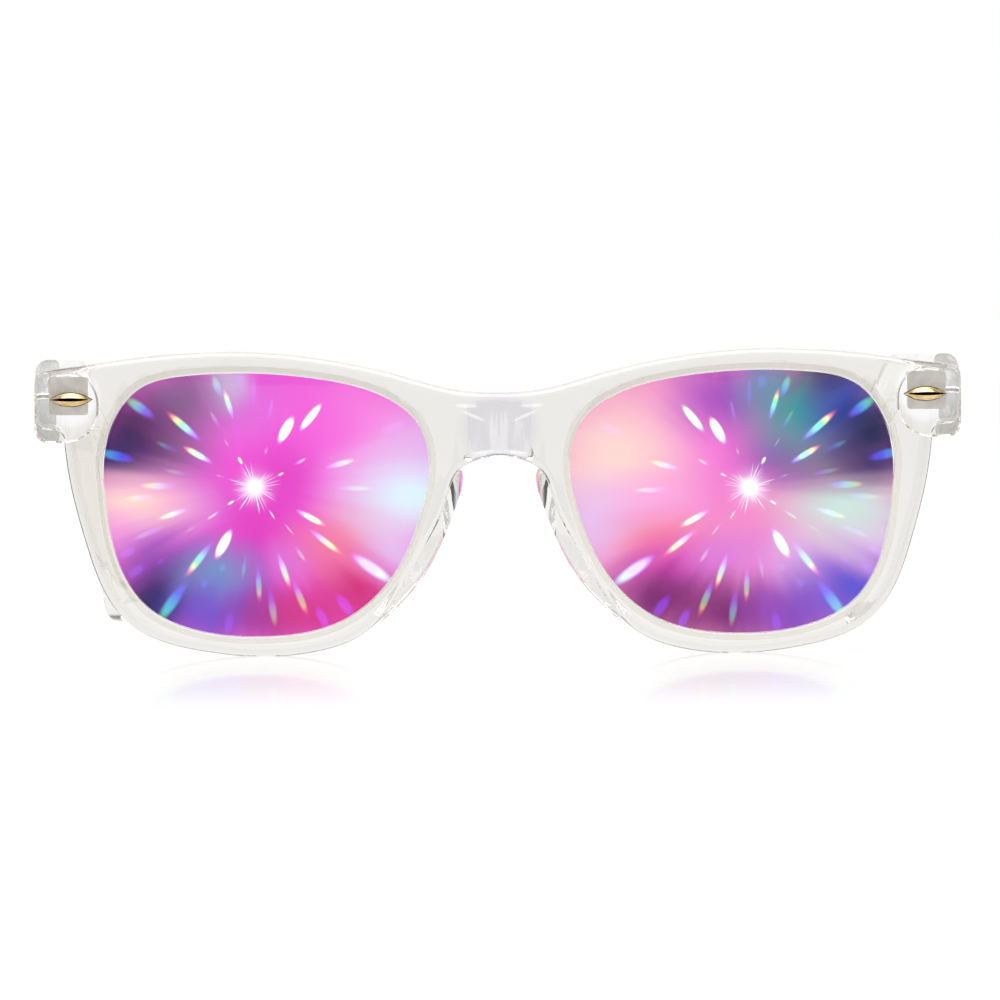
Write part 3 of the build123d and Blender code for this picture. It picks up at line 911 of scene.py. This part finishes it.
@dataclass
class LensPair:
    """The two curved lenses and the films behind them, in millimetres."""

    width: float = 50.9
    height: float = 41.1
    middle_x: float = 36.45
    middle_z: float = 23.63
    lens_grow: float = 1.0
    lens_edge: float = 0.15
    lens_setback: Point = (1.3, 2.5)
    film_grow: float = 0.75
    coloured_grow: float = -0.02
    coloured_edge: float = 0.03
    film_setback: Point = (2.53, 2.69)
    corner: float = 40.0
    star_offsets: tuple[tuple[Side, Point], ...] = (
        (Side.RIGHT, (1.8, 2.75)), (Side.LEFT, (2.7, 2.15)),
    )
    segments: int = 170
    inner_shares: tuple[float, ...] = (0.97, 0.86, 0.7, 0.5, 0.3, 0.12)
    outline_shares: tuple[Point, ...] = (
        (0.500, 0.091), (0.474, 0.303), (0.386, 0.444), (0.231, 0.493), (0.048, 0.500),
        (-0.166, 0.476), (-0.351, 0.415), (-0.467, 0.303), (-0.500, 0.164), (-0.472, -0.045),
        (-0.380, -0.283), (-0.227, -0.444), (0.000, -0.501), (0.217, -0.476), (0.368, -0.386),
        (0.447, -0.245), (0.486, -0.067),
    )

    def outline(self, grow: float) -> list[Point]:
        """A smooth closed cubic curve through the outline's points, from the lens's own middle.

        Args:
            grow: How far it grows on every side.

        Returns:
            Points round the outline, outboard side first.
        """
        knots = np.array(self.outline_shares) * (self.width + 2 * grow, self.height + 2 * grow)
        count = len(knots)
        spans = np.linalg.norm(np.roll(knots, -1, axis=0) - knots, axis=1)
        slopes = (np.roll(knots, -1, axis=0) - knots) / spans[:, None]
        before, same = np.roll(spans, 1), np.eye(count)
        system = (
            np.diag(2 * (before + spans)) + before[:, None] * np.roll(same, -1, axis=1)
            + spans[:, None] * np.roll(same, 1, axis=1)
        )
        bends = np.linalg.solve(system, 6 * (slopes - np.roll(slopes, 1, axis=0)))
        starts = np.concatenate([[0.0], np.cumsum(spans)])
        along = np.arange(self.segments) / self.segments * starts[-1]
        index = np.minimum(np.searchsorted(starts, along, side="right") - 1, count - 1)
        after = (index + 1) % count
        span, done = spans[index][:, None], (along - starts[index])[:, None]
        left = span - done
        points = (
            bends[index] * left**3 / (6 * span) + bends[after] * done**3 / (6 * span)
            + (knots[index] / span - bends[index] * span / 6) * left
            + (knots[after] / span - bends[after] * span / 6) * done
        )
        return [(u, v) for u, v in points.tolist()]

    def _ring(
        self, shell: Shell, points: Sequence[Point], side: Side, setback: float, share: float
    ) -> list[bmesh.types.BMVert]:
        """Lay a circle of vertices on one of the curved surfaces.

        Args:
            shell: The shell.
            points: Outline points from the lens's middle.
            side: The wearer's side.
            setback: How far the surface lies behind the front's face.
            share: How much of the outline's size the ring has.

        Returns:
            The ring's vertices.
        """
        made = bmesh.ops.create_circle(shell, cap_ends=False, radius=1.0, segments=len(points))["verts"]
        for vertex, (u, v) in zip(made, points):
            across = self.middle_x + u * share
            vertex.co = (
                mm(across * side.value), mm(face_depth(across, setback)), mm(self.middle_z + v * share)
            )
        return made

    def _sheet(self, side: Side, rims: Sequence[tuple[float, float]], setbacks: Point) -> Shell:
        """Build a curved sheet out of bridged rings on its two surfaces.

        Args:
            side: The wearer's side.
            rims: How far the outermost rings grow, each with its value of clear margin.
            setbacks: Setback of the front surface and of the back one.

        Returns:
            The closed shell.
        """
        shell = bmesh.new()
        margin = shell.verts.layers.float.new("clear_margin")
        innermost = self.outline(rims[-1][0])
        outer = []
        for setback in setbacks:
            rings = []
            for grow, value in rims:
                made = self._ring(shell, self.outline(grow), side, setback, 1.0)
                for vertex in made:
                    vertex[margin] = value
                rings.append(edges_of(made))
            for share in self.inner_shares:
                rings.append(edges_of(self._ring(shell, innermost, side, setback, share)))
            for wide, narrow in zip(rings, rings[1:]):
                bmesh.ops.bridge_loops(shell, edges=wide + narrow)
            bmesh.ops.edgeloop_fill(shell, edges=rings[-1])
            outer += rings[0]
        bmesh.ops.bridge_loops(shell, edges=outer)
        bmesh.ops.recalc_face_normals(shell, faces=shell.faces)
        sharpen(shell, self.corner)
        return shell

    def build(self, lens_finish: Material, films: dict[Side, Material]) -> None:
        """Make both lenses and both films.

        Args:
            lens_finish: The lenses' material.
            films: Each side's film material.
        """
        lens_rims = ((self.lens_grow, 0.0), (self.lens_grow - self.lens_edge, 0.0))
        film_rims = (
            (self.film_grow, 1.0), (self.coloured_grow + self.coloured_edge, 1.0),
            (self.coloured_grow - self.coloured_edge, 0.0),
        )
        for side in Side:
            for rims, setbacks, name, material, node, slot in (
                (lens_rims, self.lens_setback, "lens_shell", lens_finish, "lens", "lens_plastic"),
                (film_rims, self.film_setback, "film_sheet", films[side], "diffraction_film", "film"),
            ):
                piece = finish(self._sheet(side, rims, setbacks), f"{name}_{side.word}", material)
                fit(piece, FRONT_BODY, f"{node}_{side.word}")
        LOG.info("lenses and films: %d segments round", self.segments)


@dataclass
class EndpieceOrnament:
    """The pointed oval ornament on each endpiece with its two prongs, in millimetres."""

    material: Material
    centre_x: float = 67.0
    centre_z: float = 40.228
    size: Point = (7.0, 2.3)
    ridge_size: Point = (6.4, 0.56)
    # Levels of the boss and of the ridge on it: inset from their size, rise, and share of painted
    # shade, which darkens the boss's flanks and the groove along the ridge.
    boss: tuple[Triple, ...] = (
        (0.0, -0.27, 1.0), (0.0, 0.0, 1.0), (0.1, 0.07, 1.0), (0.2, 0.14, 0.9), (0.28, 0.2, 0.0),
    )
    ridge: tuple[Triple, ...] = ((0.0, 0.85, 0.0), (0.06, 0.82, 1.0), (0.12, 0.73, 1.0))
    prong_radius: float = 0.45
    prong_spacing: float = 4.4
    prong_rounding: float = 0.12
    block_reach: float = 12.999
    merged: float = 0.0005
    corner: float = 24.0
    segments: int = 64
    prong_segments: int = 28

    def _oval(self, length: float, height: float) -> list[Point]:
        """Points round a pointed oval between two equal arcs.

        Args:
            length: Its length.
            height: Its height.

        Returns:
            The points, from one tip round to the other and back.
        """
        radius = (length**2 + height**2) / (4 * height)
        points = []
        for step in range(self.segments):
            turn = 2 * math.pi * step / self.segments
            along = length / 2 * math.cos(turn)
            rise = math.sqrt(max(radius**2 - along**2, 0.0)) - (radius - height / 2)
            points.append((along, math.copysign(max(rise, 0.0), math.sin(turn))))
        return points

    def _add_prong(self, shell: Shell, start: Vector) -> None:
        """Add one prong, from the boss straight back to its rounded end.

        Args:
            shell: The shell.
            start: Where the prong's axis leaves the boss.
        """
        end = front_y() * 1000 + self.block_reach
        middle = Matrix.Translation((start.x, (start.y + end) / 2, start.z))
        made = bmesh.ops.create_cone(
            shell, cap_ends=True, segments=self.prong_segments, radius1=self.prong_radius,
            radius2=self.prong_radius, depth=end - start.y,
            matrix=middle @ Matrix.Rotation(math.pi / 2, 4, "X"),
        )["verts"]
        tips = [
            edge for vertex in made for edge in vertex.link_edges
            if all(abs(v.co.y - end) < self.merged for v in edge.verts) and vertex == edge.verts[0]
        ]
        bmesh.ops.bevel(
            shell, geom=tips, offset=self.prong_rounding, offset_type="OFFSET", segments=2, profile=0.5,
            affect="EDGES", material=-1,
        )

    def build(self) -> None:
        """Make both ornaments."""
        sweep = math.asin(self.centre_x / FACE_RADIUS)
        across = Vector((math.cos(sweep), math.sin(sweep), 0.0))
        outwards = Vector((math.sin(sweep), -math.cos(sweep), 0.0))
        origin = Vector((self.centre_x, face_depth(self.centre_x), self.centre_z))
        for side in Side:
            shell = bmesh.new()
            recess = shell.verts.layers.float.new("recess")
            rings = []
            for (length, height), levels in ((self.size, self.boss), (self.ridge_size, self.ridge)):
                for inset, rise, shade_share in levels:
                    made = bmesh.ops.create_circle(
                        shell, cap_ends=False, radius=1.0, segments=self.segments
                    )["verts"]
                    for vertex, (u, v) in zip(made, self._oval(length - inset, height - inset)):
                        vertex.co = origin + across * u + outwards * rise + Vector((0.0, 0.0, v))
                        # Painted shade on the boss's flanks and in the groove along the ridge.
                        vertex[recess] = shade_share
                    rings.append(edges_of(made))
            for low, high in zip(rings, rings[1:]):
                bmesh.ops.bridge_loops(shell, edges=low + high)
            bmesh.ops.edgeloop_fill(shell, edges=rings[0])
            bmesh.ops.edgeloop_fill(shell, edges=rings[-1])
            for offset in (-self.prong_spacing / 2, self.prong_spacing / 2):
                self._add_prong(shell, origin + across * offset)
            for vertex in shell.verts:
                vertex.co = Vector((vertex.co.x * side.value, vertex.co.y, vertex.co.z)) / 1000
            bmesh.ops.remove_doubles(shell, verts=shell.verts, dist=mm(self.merged))
            bmesh.ops.recalc_face_normals(shell, faces=shell.faces)
            sharpen(shell, self.corner)
            piece = finish(shell, f"oval_ornament_{side.word}", self.material)
            fit(piece, FRONT_BODY, f"endpiece_ornament_{side.word}")
        LOG.info("endpiece ornaments: %.1f by %.1f mm", *self.size)


@dataclass
class CarriedOver:
    """The clear mouldings and the hinges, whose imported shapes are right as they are."""

    clear: Material
    plate: Material
    bevel: float = 0.05
    air_gap: float = 0.025

    def build(self) -> None:
        """Dress the front, and each side's temple, leaves, screw and rivets."""
        Moulding("front_frame", "clear_front", FRONT_BODY, "clear_plastic", self.clear).build()
        for side in Side:
            word, arm, plate = side.word, side.temple_body, self.plate
            low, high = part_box(f"hinge_screw_{word}")
            steel = TurnedSteel(((low.x + high.x) / 2, (low.y + high.y) / 2), side).build()
            trims = (self.bevel, self.air_gap)
            for node, name, body, slot, material, *trim in (
                ("temple", "clear_temple", arm, "clear_plastic", self.clear),
                ("front_hinge_leaf", "stamped_front_leaf", FRONT_BODY, "hinge_metal", plate, *trims),
                ("hinge_screw", "slotted_screw", FRONT_BODY, "screw_steel", steel, *trims),
                ("temple_hinge_leaf", "stamped_temple_leaf", arm, "hinge_metal", plate, *trims),
                ("temple_rivets", "flush_rivets", arm, "hinge_metal", plate, *trims),
            ):
                Moulding(f"{node}_{word}", f"{name}_{word}", body, slot, material, *trim).build()
            LOG.info("%s temple and hinge", word)


@dataclass
class Studio:
    """A plain white table and room, soft lamps and the camera, in millimetres and degrees."""

    floor_size: float = 6000.0
    view_width: float = 156.0
    distance: float = 1350.0
    yaw: float = 1.2
    elevation: float = 1.6
    roll: float = 0.4
    aim_z: float = 24.2
    sight: float = 50000.0
    table_matt: str = "#5A5A5A"
    table_white: str = "#FCFCFC"
    white_reach: Point = (120.0, 40.0)
    mirror_share: float = 0.36
    mirror_reaches: Point = (-230.0, 30.0)
    glance_band: Point = (0.8, 0.93)
    haze_spacing: float = 30.0
    mirror_roughness: Point = (0.048, 0.072)
    # The room's grey bands and the darker flag that mirrors alone see: hex codes along one axis.
    bands: tuple[tuple[str, bool, Stops], ...] = (
        ("Z", False, (
            (-1.0, "#9A9A9C"), (-0.1, "#EDEDEF"), (0.0, WHITE), (0.62, WHITE), (0.74, "#6E7074"),
            (1.0, "#6E7074"),
        )),
        ("X", False, (
            (-0.97, "#D2DEF6"), (-0.88, "#55575B"), (-0.6, "#55575B"), (-0.5, WHITE), (0.5, WHITE),
            (0.6, "#55575B"), (0.88, "#55575B"), (0.97, "#F4EEE2"),
        )),
        ("Y", False, ((-1.0, "#C4C5C8"), (-0.8, "#D0D1D4"), (-0.55, WHITE))),
        ("Y", True, ((-1.0, "#56575A"), (-0.86, "#66676A"), (-0.55, WHITE))),
    )
    plain_depth: float = 4.0
    lamps: tuple[tuple[str, Triple, float, float], ...] = (
        ("softbox_above_front", (0.0, -420.0, 1000.0), 1100.0, 10.0),
        ("softbox_right", (900.0, -500.0, 500.0), 500.0, 1.5),
    )
    lamp_aim: Triple = (0.0, -50.0, 30.0)
    bounces: int = 14
    mirror_bounces: int = 8

    def build(self) -> None:
        """Set up floor, world, lamps, camera and view."""
        self._floor()
        self._world()
        self._lamps()
        self._camera()
        scene = bpy.context.scene
        scene.view_settings.view_transform = "Standard"
        scene.cycles.max_bounces = self.bounces
        scene.cycles.transmission_bounces = self.bounces
        scene.cycles.glossy_bounces = self.mirror_bounces
        LOG.info("studio: view %.0f mm wide from %.0f mm", self.view_width, self.distance)

    def _floor(self) -> None:
        """A polished white table top that mirrors the glasses faintly."""
        material, add, place = new_material("white_acrylic_table")
        haze = add("TexNoise", {"Vector": place, "Scale": 1 / mm(self.haze_spacing), "Detail": 3.0})
        roughness = add("MapRange", {"Value": haze, TO: self.mirror_roughness})
        along = add("SeparateXYZ", {"Vector": place}).outputs["Y"]
        # Mirrors see the white of the table only close to the glasses, which keeps the lenses deep.
        band = tuple(front_y() - mm(reach) for reach in self.white_reach)
        close = add("MapRange", {"Value": along, FROM: band})
        path = add("LightPath").outputs
        mirrored = add("Math", {0: path["Is Glossy Ray"], 1: close}, operation="MULTIPLY")
        direct = add(
            "Math", {0: path["Is Camera Ray"], 1: path["Is Transmission Ray"]}, operation="MAXIMUM"
        )
        seen = add("Math", {0: direct, 1: mirrored}, operation="MAXIMUM")
        matt = add("BsdfDiffuse", {"Color": colour(self.table_matt)})
        lift = add("Emission", {"Color": colour(self.table_white), "Strength": seen})
        white = add("AddShader", {0: matt, 1: lift})
        mirror = add("BsdfAnisotropic", {"Color": colour(WHITE), "Roughness": roughness})
        # The polish is best below the front and fades away from it, so that the mirror image fades too.
        shares = [
            add("MapRange", {
                "Value": along, FROM: (front_y(), front_y() + mm(reach)), TO: (self.mirror_share, 0.0),
            }, interpolation_type="SMOOTHERSTEP")
            for reach in self.mirror_reaches
        ]
        share = add("Math", {0: shares[0], 1: shares[1]}, operation="MINIMUM")
        # As on any polish, a glance along the table is mirrored, and a look down on it is not.
        facing = add("LayerWeight", {"Blend": 0.5}).outputs["Facing"]
        glance = add(
            "MapRange", {"Value": facing, FROM: self.glance_band}, interpolation_type="SMOOTHSTEP"
        )
        share = add("Math", {0: share, 1: glance}, operation="MULTIPLY")
        both = add("MixShader", {"Fac": share, 1: white, 2: mirror})
        add("OutputMaterial", {"Surface": both})
        shell = bmesh.new()
        bmesh.ops.create_grid(shell, x_segments=1, y_segments=1, size=mm(self.floor_size) / 2)
        finish(shell, "table_top", material)

    def _world(self) -> None:
        """White to the camera, and a white room with grey flags to glass and metal."""
        world = bpy.data.worlds.new("white_room")
        bpy.context.scene.world = world
        world.use_nodes = True
        world.node_tree.nodes.clear()
        add = partial(add_node, world.node_tree)
        parts = add("SeparateXYZ", {"Vector": add("TexCoord").outputs["Generated"]})
        path = add("LightPath").outputs
        room: object = colour(WHITE)
        for axis, mirrors_only, stops in self.bands:
            place = add("MapRange", {"Value": parts.outputs[axis], "From Min": -1.0})
            ramp = set_stops(
                add("ValToRGB", {"Fac": place}), (((level + 1) / 2, code) for level, code in stops)
            )
            room = add(
                "Mix", {"Factor": path["Is Glossy Ray"] if mirrors_only else 1.0, 6: room, 7: ramp},
                data_type="RGBA", blend_type="MULTIPLY",
            )
        # Rays that met several surfaces see plain white, so that the hinges don't drown in grey.
        deep = add("Math", {0: path["Ray Depth"], 1: self.plain_depth}, operation="GREATER_THAN")
        room = add("Mix", {"Factor": deep, 6: room, 7: colour(WHITE)}, data_type="RGBA")
        around = add("Background", {"Color": room})
        plain = add("Background", {"Color": colour(WHITE)})
        both = add("MixShader", {"Fac": path["Is Camera Ray"], 1: around, 2: plain})
        add("OutputWorld", {"Surface": both})

    def _lamps(self) -> None:
        """Soft boxes that give the metal its highlights."""
        for name, place, size, watts in self.lamps:
            lamp = bpy.data.lights.new(name, "AREA")
            lamp.shape = "SQUARE"
            lamp.size = mm(size)
            lamp.energy = watts
            box = bpy.data.objects.new(name, lamp)
            bpy.context.scene.collection.objects.link(box)
            box.location = Vector(place) / 1000
            aim = Vector(self.lamp_aim) / 1000 - box.location
            box.rotation_euler = aim.to_track_quat("-Z", "Y").to_euler()

    def _camera(self) -> None:
        """Aim a long lens at the front, from a little above and to one side."""
        lens = bpy.data.cameras.new("still_camera")
        camera = bpy.data.objects.new("still_camera", lens)
        bpy.context.scene.collection.objects.link(camera)
        bpy.context.scene.camera = camera
        lens.lens = lens.sensor_width * self.distance / self.view_width
        lens.clip_end = mm(self.sight)
        yaw, rise = math.radians(self.yaw), math.radians(self.elevation)
        back = Vector(
            (-math.sin(yaw) * math.cos(rise), -math.cos(yaw) * math.cos(rise), math.sin(rise))
        )
        camera.location = Vector((0.0, front_y(), mm(self.aim_z))) + back * mm(self.distance)
        aim = (-back).to_track_quat("-Z", "Y").to_matrix().to_4x4()
        camera.rotation_euler = (aim @ Matrix.Rotation(-math.radians(self.roll), 4, "Z")).to_euler()


def main() -> None:
    """Build the glasses piece by piece, then the studio."""
    logging.basicConfig(level=logging.INFO, format="%(message)s")
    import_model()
    clear = ClearPolycarbonate().build()
    lenses = LensPair()
    tools = PatternTools()
    patterns = {Side.RIGHT: (RIGHT_CLOUDS, Hue.HOT_PINK), Side.LEFT: (LEFT_CLOUDS, Hue.BLUSH)}
    films = {}
    for side, (outboard, above) in lenses.star_offsets:
        star = (lenses.middle_x + outboard, lenses.middle_z + above)
        films[side] = DiffractionFilm(side, *star, *patterns[side], tools).build()
    lenses.build(HardCoatedLens().build(), films)
    EndpieceOrnament(PlatedMetal().build()).build()
    plate = PlatedMetal("gold_flashed_hinge_plate", "#F8F4EC", "#EAE4DA", roughness=(0.5, 0.65)).build()
    CarriedOver(clear, plate).build()
    Studio().build()


if __name__ == "__main__":
    main()
